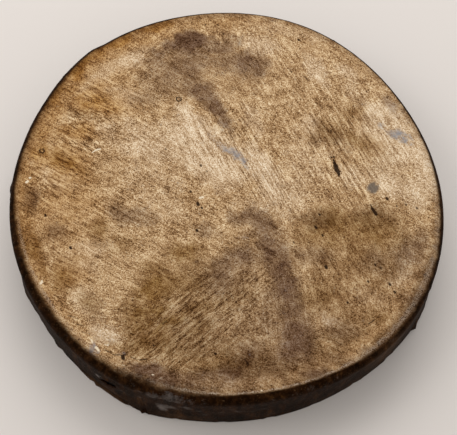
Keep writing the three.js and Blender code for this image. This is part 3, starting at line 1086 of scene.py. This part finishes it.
# Painted shade: under the hide, the hoop's outer face is painted nearly black, so that the tear shows
# a dark hole
painted_shade_under_hide = wood.verts.layers.float.new("painted_shade_under_hide")
for vertex, out in zip(wood.verts, ring_radius):
    vertex[painted_shade_under_hide] = float(out > outside - 1)

hoop = make_object(wood, "drum_hoop", "hoop")
hoop.data.shade_smooth()
print("The lap steps in by", LAP_INSIDE, "mm at", LAP_END, "degrees")

# %% [markdown]
# ## Finish: scraped rawhide
#
# The head is rawhide: skin scraped on both sides and dried, never tanned. That gives a matt,
# slightly waxy surface with a mottled fibre pattern, dark hair pores and the long marks of the
# scraper. The patterns are noise at real sizes, and the ones under half a millimetre are drawn at
# about one, so that they still show from the camera. All of it reads the piece's own coordinates,
# in mm, so nothing slides when the view changes.

# %% Make the tools for the finishes
def paint_ramp(ramp, stops):
    """Set a colour ramp's stops from (position, hex) pairs."""
    elements = ramp.color_ramp.elements
    while len(elements) > 1:
        elements.remove(elements[-1])
    elements[0].position, elements[0].color = stops[0][0], colour(stops[0][1])
    for position, hex_code in stops[1:]:
        elements.new(position).color = colour(hex_code)


def in_millimetres(tree):
    """The piece's own coordinates, in mm."""
    here = add(tree, "ShaderNodeTexCoord")
    scaled = add(tree, "ShaderNodeVectorMath", {"operation": "SCALE"},
                 Vector=here.outputs["Object"], Scale=1 / MM)
    return scaled.outputs[0]


def fibres(tree, place, lay, length, width):
    """Noise drawn out along one direction on the head. Lay is its angle, sizes are in mm."""
    # One mapping turns and the next one stretches, because a single one stretches first
    turned = add(tree, "ShaderNodeMapping", Vector=place, Rotation=(0, 0, -math.radians(lay)))
    drawn = add(tree, "ShaderNodeMapping", Vector=turned.outputs[0],
                Scale=(1 / length, 1 / width, 1 / width))
    pattern = add(tree, "ShaderNodeTexNoise", Vector=drawn.outputs[0], Scale=1.0, Detail=3.0,
                  Roughness=0.85, Distortion=0.3)
    return pattern.outputs["Fac"]


# %% Start the hide's finish
rawhide, tree = new_material("scraped_rawhide")
place = in_millimetres(tree)
# Clouds of tone 16 mm across, a speckle of about 1 mm, and blotches of 9 mm
mottle = add(tree, "ShaderNodeTexNoise", Vector=place, Scale=1 / 16, Detail=4.0, Roughness=0.7,
             Distortion=0.3).outputs["Fac"]
grit = add(tree, "ShaderNodeTexNoise", Vector=place, Scale=1 / 1.1, Detail=1.5,
           Roughness=0.7).outputs["Fac"]
lobes = add(tree, "ShaderNodeTexNoise", Vector=place, Scale=1 / 9, Detail=3.0,
            Roughness=0.6).outputs["Fac"]
print("Patterns so far:", len(tree.nodes), "nodes")

# %% [markdown]
# ## Finish: the scraper's marks and the hair pores
#
# Each region of the head was scraped in its own direction, so there is one fibre pattern for each
# direction, and its mask says where it shows. Where hairs grew there are dark dots, in areas.

# %% Lay the fibres and the pores
# (attribute, angle, how plainly its marks show, their length in mm)
LAYS = [
    ("lay_level", -8, 1.0, 15),
    ("lay_falling", -29, 1.5, 15),
    ("lay_steep", -61, 1.3, 28),
    ("lay_rising", 42, 1.6, 18),
    ("lay_upright", -82, 1.0, 18),
]
FIBRE_WIDTH = 2.6
drift = 0.0
for attribute, lay, plainness, length in LAYS:
    region = add(tree, "ShaderNodeAttribute", {"attribute_name": attribute}).outputs["Fac"]
    strands = fibres(tree, place, lay, length, FIBRE_WIDTH)
    centred = add(tree, "ShaderNodeMath", {"operation": "MULTIPLY_ADD"},
                  i0=strands, i1=plainness, i2=-0.5 * plainness).outputs[0]
    drift = add(tree, "ShaderNodeMath", {"operation": "MULTIPLY_ADD"},
                i0=centred, i1=region, i2=drift).outputs[0]

# How much each pattern sways the tone
MOTTLE = 0.55
DRIFT = 1.0
GRIT = 1.15
fine = add(tree, "ShaderNodeMath", {"operation": "SUBTRACT"}, i0=grit, i1=0.5).outputs[0]
tone = add(tree, "ShaderNodeMath", {"operation": "MULTIPLY_ADD"},
           i0=mottle, i1=MOTTLE, i2=0.5 * (1 - MOTTLE)).outputs[0]
tone = add(tree, "ShaderNodeMath", {"operation": "MULTIPLY_ADD"},
           i0=drift, i1=DRIFT, i2=tone).outputs[0]
hide_tone = add(tree, "ShaderNodeMath", {"operation": "MULTIPLY_ADD"},
                i0=fine, i1=GRIT, i2=tone).outputs[0]
tan = add(tree, "ShaderNodeValToRGB", Fac=hide_tone)
paint_ramp(tan, [(0.24, "4e341c"), (0.37, "846240"), (0.48, "a9855d"), (0.59, "c8a67c"),
                 (0.76, "edd6b0")])

# Hair pores: small dark dots 2.9 mm apart, only in some areas
pores = add(tree, "ShaderNodeTexVoronoi", Vector=place, Scale=1 / 2.9)
dot = add(tree, "ShaderNodeMapRange", Value=pores.outputs["Distance"],
          From_Min=0.12, From_Max=0.28, To_Min=1.0, To_Max=0.0)
pored = add(tree, "ShaderNodeMapRange", Value=lobes, From_Min=0.42, From_Max=0.6)
dot = add(tree, "ShaderNodeMath", {"operation": "MULTIPLY"},
          i0=dot.outputs[0], i1=pored.outputs[0])
pored_tan = add(tree, "ShaderNodeMix", {"data_type": "RGBA", "blend_type": "MULTIPLY"},
                i0=dot.outputs[0], i6=tan.outputs[0], i7=colour("7d5c40"))
head_colour = pored_tan.outputs[2]
print("Rawhide so far:", len(tree.nodes), "nodes")

# %% [markdown]
# ## Finish: the stains
#
# A stain soaks in and darkens what is under it, so it multiplies the hide's own colour and the
# fibre pattern still shows through. A smear lies on top, so it covers. A scraped place comes
# before both: it is the same fibres in a paler tone. Each takes its place from a painted mask,
# with an edge broken up by noise.

# %% Make the stain
ragged = add(tree, "ShaderNodeMath", {"operation": "MULTIPLY_ADD"}, i0=grit, i1=0.55, i2=lobes)
ragged = add(tree, "ShaderNodeMath", {"operation": "SUBTRACT"}, i0=ragged.outputs[0], i1=0.775)
ragged = ragged.outputs[0]


def stain(tree, under, mask, pigment, blend, strength, raggedness=0.6, edge=(0.1, 0.9)):
    """Lay one kind of stain over a colour, where its mask says, with its edge broken by noise."""
    painted = add(tree, "ShaderNodeAttribute", {"attribute_name": mask}).outputs["Fac"]
    broken = add(tree, "ShaderNodeMath", {"operation": "MULTIPLY_ADD"},
                 i0=ragged, i1=raggedness, i2=painted)
    amount = add(tree, "ShaderNodeMapRange", Value=broken.outputs[0], From_Min=edge[0],
                 From_Max=edge[1], To_Min=0.0, To_Max=strength)
    stained = add(tree, "ShaderNodeMix", {"data_type": "RGBA", "blend_type": blend},
                  i0=amount.outputs[0], i6=under, i7=colour(pigment))
    return stained.outputs[2]


# %% Lay the stains over the head
# Where the hide was scraped again, the same fibres show in a paler tone
pale_skin = add(tree, "ShaderNodeValToRGB", Fac=hide_tone)
paint_ramp(pale_skin, [(0.24, "947453"), (0.4, "c6a680"), (0.54, "e2c9a8"), (0.72, "f8ead3")])
scraped_here = add(tree, "ShaderNodeAttribute", {"attribute_name": "scraped"}).outputs["Fac"]
scraped_here = add(tree, "ShaderNodeMath", {"operation": "MULTIPLY_ADD"},
                   i0=ragged, i1=0.6, i2=scraped_here)
scraped_here = add(tree, "ShaderNodeMapRange", Value=scraped_here.outputs[0], From_Min=0.1,
                   From_Max=1.0, To_Max=0.8)
head_colour = add(tree, "ShaderNodeMix", {"data_type": "RGBA"}, i0=scraped_here.outputs[0],
                  i6=head_colour, i7=pale_skin.outputs[0]).outputs[2]

# (mask, pigment, blend, strength, raggedness, where its edge starts and ends)
HEAD_STAINS = [
    ("rust", "d8bc8a", "MULTIPLY", 1.0),
    ("earth", "b8a684", "MULTIPLY", 1.0),
    # The cool dark mask is soot and grease, and painted shade over the lower half and the near edge
    ("smoke", "988e94", "MULTIPLY", 1.0),
    ("slate", "8d8c8f", "MIX", 0.9, 2.4, (0.55, 1.3)),
    ("slate_spot", "5f5751", "MIX", 0.85, 0.5),
    # Dirt and painted shade darken the head's edge, most on the near side
    ("grime", "84766e", "MULTIPLY", 0.9, 1.0),
]
for head_stain in HEAD_STAINS:
    head_colour = stain(tree, head_colour, *head_stain)
print("With its stains:", len(tree.nodes), "nodes")

# %% [markdown]
# ## Finish: the dark side
#
# Down the wall the same hide is nearly black: hands, smoke and grease have darkened it, and its
# colour is darker still with painted shade. It has dried in upright strands. It starts near the
# head's flat edge with a ragged border, which is sharp in some places and smoky in others. Under
# the hoop's back edge, where hands don't reach, it turns brown again.

# %% Colour the wall and the margin
along_hide = add(tree, "ShaderNodeAttribute", {"attribute_name": "travel"}).outputs["Fac"]
upright = add(tree, "ShaderNodeVectorMath", {"operation": "MULTIPLY"}, i0=place, i1=(1, 1, 0.22))
strands = add(tree, "ShaderNodeTexNoise", Vector=upright.outputs[0], Scale=1 / 7, Detail=4.0,
              Roughness=0.7).outputs["Fac"]
# Painted shade: this ramp is darker than grease alone would make the wall, for the shade on its side
greasy_shaded_skin = add(tree, "ShaderNodeValToRGB", Fac=strands)
paint_ramp(greasy_shaded_skin, [(0.30, "0c0501"), (0.46, "180b03"), (0.58, "271508"), (0.74, "422a13")])
WALL_STAINS = [
    # Dusty earth, and painted highlights on the rolled hem and the upper wall
    ("wall_earth", "5a4029", "MIX", 0.55),
    # Grey scuffs, and painted grey highlights on the wall's top edge and at the crease
    ("wall_slate", "78706b", "MIX", 0.7, 1.4, (0.25, 1.0)),
    ("wall_pale", "b7a38a", "MIX", 0.8, 0.9, (0.35, 0.7)),
]
wall_colour = greasy_shaded_skin.outputs[0]
for wall_stain in WALL_STAINS:
    wall_colour = stain(tree, wall_colour, *wall_stain)

# Dust caught in the dark skin
dust = add(tree, "ShaderNodeTexNoise", Vector=place, Scale=1 / 1.5, Detail=2.0,
           Roughness=0.6).outputs["Fac"]
speck = add(tree, "ShaderNodeMapRange", Value=dust, From_Min=0.62, From_Max=0.74,
            To_Max=0.25).outputs[0]
wall_colour = add(tree, "ShaderNodeMix", {"data_type": "RGBA"}, i0=speck,
                  i6=wall_colour, i7=colour("8a6c4c")).outputs[2]

# Cleaner brown skin where the hide is turned in
turned_in = add(tree, "ShaderNodeMapRange", Value=along_hide,
                From_Min=WALL_END + 4, From_Max=MARGIN_START + 4)
margin_skin = add(tree, "ShaderNodeValToRGB", Fac=strands)
paint_ramp(margin_skin, [(0.3, "3f2b1c"), (0.5, "6b4c31"), (0.7, "94724d")])
wall_colour = add(tree, "ShaderNodeMix", {"data_type": "RGBA"}, i0=turned_in.outputs[0],
                  i6=wall_colour, i7=margin_skin.outputs[0]).outputs[2]

side = add(tree, "ShaderNodeAttribute", {"attribute_name": "side"}).outputs["Fac"]
side = add(tree, "ShaderNodeMath", {"operation": "MULTIPLY_ADD"}, i0=ragged, i1=1.3, i2=side)
down_side = add(tree, "ShaderNodeMapRange", {"interpolation_type": "SMOOTHSTEP"},
                Value=side.outputs[0], From_Min=-1.0, From_Max=1.0)
hide_colour = add(tree, "ShaderNodeMix", {"data_type": "RGBA"}, i0=down_side.outputs[0],
                  i6=head_colour, i7=wall_colour).outputs[2]
print("With its dark side:", len(tree.nodes), "nodes")

# %% [markdown]
# ## Finish: the worn and lit edge, and the marks
#
# Where the head turns down it rubs on everything, and a thin pale line is worn along it; the line
# is partly a painted highlight where the shoulder turns. Grit and blotches break the line, because
# an even one would look painted on. The nicks and the dark cuts go on last, as they cut through
# everything else.

# %% Wear and light the edge, and lay the marks on
line = add(tree, "ShaderNodeAttribute", {"attribute_name": "past_line"}).outputs["Fac"]
line = add(tree, "ShaderNodeMath", {"operation": "MULTIPLY_ADD"}, i0=ragged, i1=1.6, i2=line)
line = add(tree, "ShaderNodeMath", {"operation": "ABSOLUTE"}, i0=line.outputs[0])
line = add(tree, "ShaderNodeMapRange", {"interpolation_type": "SMOOTHSTEP"},
           Value=line.outputs[0], From_Min=0.3, From_Max=1.3, To_Min=1.0, To_Max=0.0)
worn_and_lit = add(tree, "ShaderNodeAttribute", {"attribute_name": "worn_and_lit"}).outputs["Fac"]
line = add(tree, "ShaderNodeMath", {"operation": "MULTIPLY"}, i0=line.outputs[0], i1=worn_and_lit)
patchy = add(tree, "ShaderNodeMapRange", Value=grit, From_Min=0.38, From_Max=0.62)
line = add(tree, "ShaderNodeMath", {"operation": "MULTIPLY"},
           i0=line.outputs[0], i1=patchy.outputs[0])
line_breaks = add(tree, "ShaderNodeMapRange", Value=lobes, From_Min=0.38, From_Max=0.6, To_Min=0.3)
line = add(tree, "ShaderNodeMath", {"operation": "MULTIPLY"},
           i0=line.outputs[0], i1=line_breaks.outputs[0])
# Wear and a painted highlight: a thin pale line along the edge
hide_colour = add(tree, "ShaderNodeMix", {"data_type": "RGBA"}, i0=line.outputs[0],
                  i6=hide_colour, i7=colour("bba994")).outputs[2]

hide_colour = stain(tree, hide_colour, "nick", "ead9bc", "MIX", 0.9, 0.35, (0.35, 0.65))
# The dark marks include painted shade in the crease's groove and round the tear
hide_colour = stain(tree, hide_colour, "mark", "24150c", "MIX", 0.95, 0.6, (0.25, 0.7))
print("With its marks:", len(tree.nodes), "nodes")

# %% [markdown]
# ## Finish: the hide's gloss and touch
#
# Paler fibres are the dry, raised ones, so they are the rougher ones too: roughness and relief
# follow the same tone as the colour. Down the side the upright strands add to the relief.

# %% Give the hide its gloss and its touch
sheen_of = add(tree, "ShaderNodeMapRange", Value=hide_tone, From_Min=0.3, From_Max=0.7,
               To_Min=0.58, To_Max=0.78)
relief = add(tree, "ShaderNodeMath", {"operation": "MULTIPLY_ADD"}, i0=strands,
             i1=down_side.outputs[0], i2=hide_tone)
bump = add(tree, "ShaderNodeBump", Height=relief.outputs[0], Strength=0.5, Distance=0.4 * MM)
# Collagen has an IOR of about 1.45. The surface is dry, so its gloss is broad and weak
shader = add(tree, "ShaderNodeBsdfPrincipled", Base_Color=hide_colour,
             Roughness=sheen_of.outputs[0], IOR=1.45, Specular_IOR_Level=0.05,
             Specular_Tint=colour("b88454"), Normal=bump.outputs[0])
add(tree, "ShaderNodeOutputMaterial", Surface=shader.outputs[0])
print("Rawhide in all:", len(tree.nodes), "nodes")

# %% [markdown]
# ## Finish: the flesh side
#
# The inner face of the hide was scraped less carefully. It is duller, evenly brown and fibrous,
# with no stains of its own beyond some darkening.

# %% Mix the flesh side
flesh, tree = new_material("rawhide_flesh_side")
place = in_millimetres(tree)
fuzz = add(tree, "ShaderNodeTexNoise", Vector=place, Scale=1 / 18, Detail=5.0, Roughness=0.75)
strokes = fibres(tree, place, 20, 60, 3)
flesh_tone = add(tree, "ShaderNodeMix", {"data_type": "FLOAT"}, i0=0.5, i2=fuzz.outputs["Fac"],
                 i3=strokes).outputs[0]
brown = add(tree, "ShaderNodeValToRGB", Fac=flesh_tone)
paint_ramp(brown, [(0.34, "58412c"), (0.5, "7a5d40"), (0.64, "9b7b57")])
bump = add(tree, "ShaderNodeBump", Height=flesh_tone, Strength=0.5, Distance=0.6 * MM)
shader = add(tree, "ShaderNodeBsdfPrincipled", Base_Color=brown.outputs[0], Roughness=0.85,
             IOR=1.45, Normal=bump.outputs[0])
add(tree, "ShaderNodeOutputMaterial", Surface=shader.outputs[0])
print("Flesh side:", len(tree.nodes), "nodes")

# %% [markdown]
# ## Finish: bent hardwood
#
# A split and shaved strip, such as ash or willow, bent green and darkened by smoke and hands. Its
# grain runs along the strip, so the pattern follows the hoop round: the angle times the radius is
# the distance along it. The pattern has to break somewhere, and the lap's own step hides that.

# %% Mix the bent wood
bentwood, tree = new_material("bent_hardwood")
place = in_millimetres(tree)
to_lap = add(tree, "ShaderNodeMapping", Vector=place,
             Location=(-CENTRE_X, -CENTRE_Y, 0))
to_lap = add(tree, "ShaderNodeMapping", Vector=to_lap.outputs[0],
             Rotation=(0, 0, math.radians(180 - LAP_END)))
axes = add(tree, "ShaderNodeSeparateXYZ", Vector=to_lap.outputs[0])
turn = add(tree, "ShaderNodeMath", {"operation": "ARCTAN2"},
           i0=axes.outputs[1], i1=axes.outputs[0])
length = add(tree, "ShaderNodeMath", {"operation": "MULTIPLY"}, i0=turn.outputs[0], i1=RADIUS)
across = add(tree, "ShaderNodeVectorMath", {"operation": "LENGTH"}, i0=to_lap.outputs[0])
on_strip = add(tree, "ShaderNodeCombineXYZ", X=length.outputs[0], Y=axes.outputs[2],
               Z=across.outputs["Value"])
grain_place = add(tree, "ShaderNodeVectorMath", {"operation": "MULTIPLY"},
                  i0=on_strip.outputs[0], i1=(1 / 70, 1 / 1.6, 1 / 1.6))
grain = add(tree, "ShaderNodeTexNoise", Vector=grain_place.outputs[0], Scale=1.0, Detail=4.0,
            Roughness=0.65)
smoked = add(tree, "ShaderNodeTexNoise", Vector=on_strip.outputs[0], Scale=1 / 45, Detail=3.0)
wood_tone = add(tree, "ShaderNodeMath", {"operation": "MULTIPLY_ADD"},
                i0=smoked.outputs["Fac"], i1=0.6, i2=grain.outputs["Fac"])
brown = add(tree, "ShaderNodeValToRGB", Fac=wood_tone.outputs[0])
paint_ramp(brown, [(0.55, "2c1d13"), (0.75, "573c26"), (0.9, "7b5938"), (1.0, "94704a")])
# Painted shade: the outer face under the hide goes nearly black
painted_shade_under_hide = add(tree, "ShaderNodeAttribute", {"attribute_name": "painted_shade_under_hide"}).outputs["Fac"]
brown = add(tree, "ShaderNodeMix", {"data_type": "RGBA"}, i0=painted_shade_under_hide, i6=brown.outputs[0],
            i7=colour("080503"))
bump = add(tree, "ShaderNodeBump", Height=grain.outputs["Fac"], Strength=0.4, Distance=0.4 * MM)
shader = add(tree, "ShaderNodeBsdfPrincipled", Base_Color=brown.outputs[2], Roughness=0.6,
             IOR=1.5, Specular_IOR_Level=0.2, Normal=bump.outputs[0])
add(tree, "ShaderNodeOutputMaterial", Surface=shader.outputs[0])
print("Finishes:", rawhide.name, flesh.name, bentwood.name)

# %% [markdown]
# ## Putting it together
#
# The hide's second material is the one that its inner wall takes. Each new piece rides on the
# drum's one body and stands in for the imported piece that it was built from.

# %% Put the finishes on and tie the pieces to the drum
hide.data.materials.append(rawhide)
hide.data.materials.append(flesh)
hoop.data.materials.append(bentwood)
for piece, node, slot in ((hide, "hide_head", "hide"), (hoop, "hoop", "hoop_wood")):
    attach(piece, "root")
    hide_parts(node)

# %% [markdown]
# ## Compare the sizes and finish
#
# The new pieces have to fill the imported drum's box and no more, so the difference between the
# two boxes is printed.

# %% Compare the sizes and finish
new_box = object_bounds()
grown = [round((new_box[i][axis] - CAD_BOX[i][axis]) / MM, 1) for i in (0, 1) for axis in range(3)]
print("The new box differs from the packed one by, in mm:", grown)
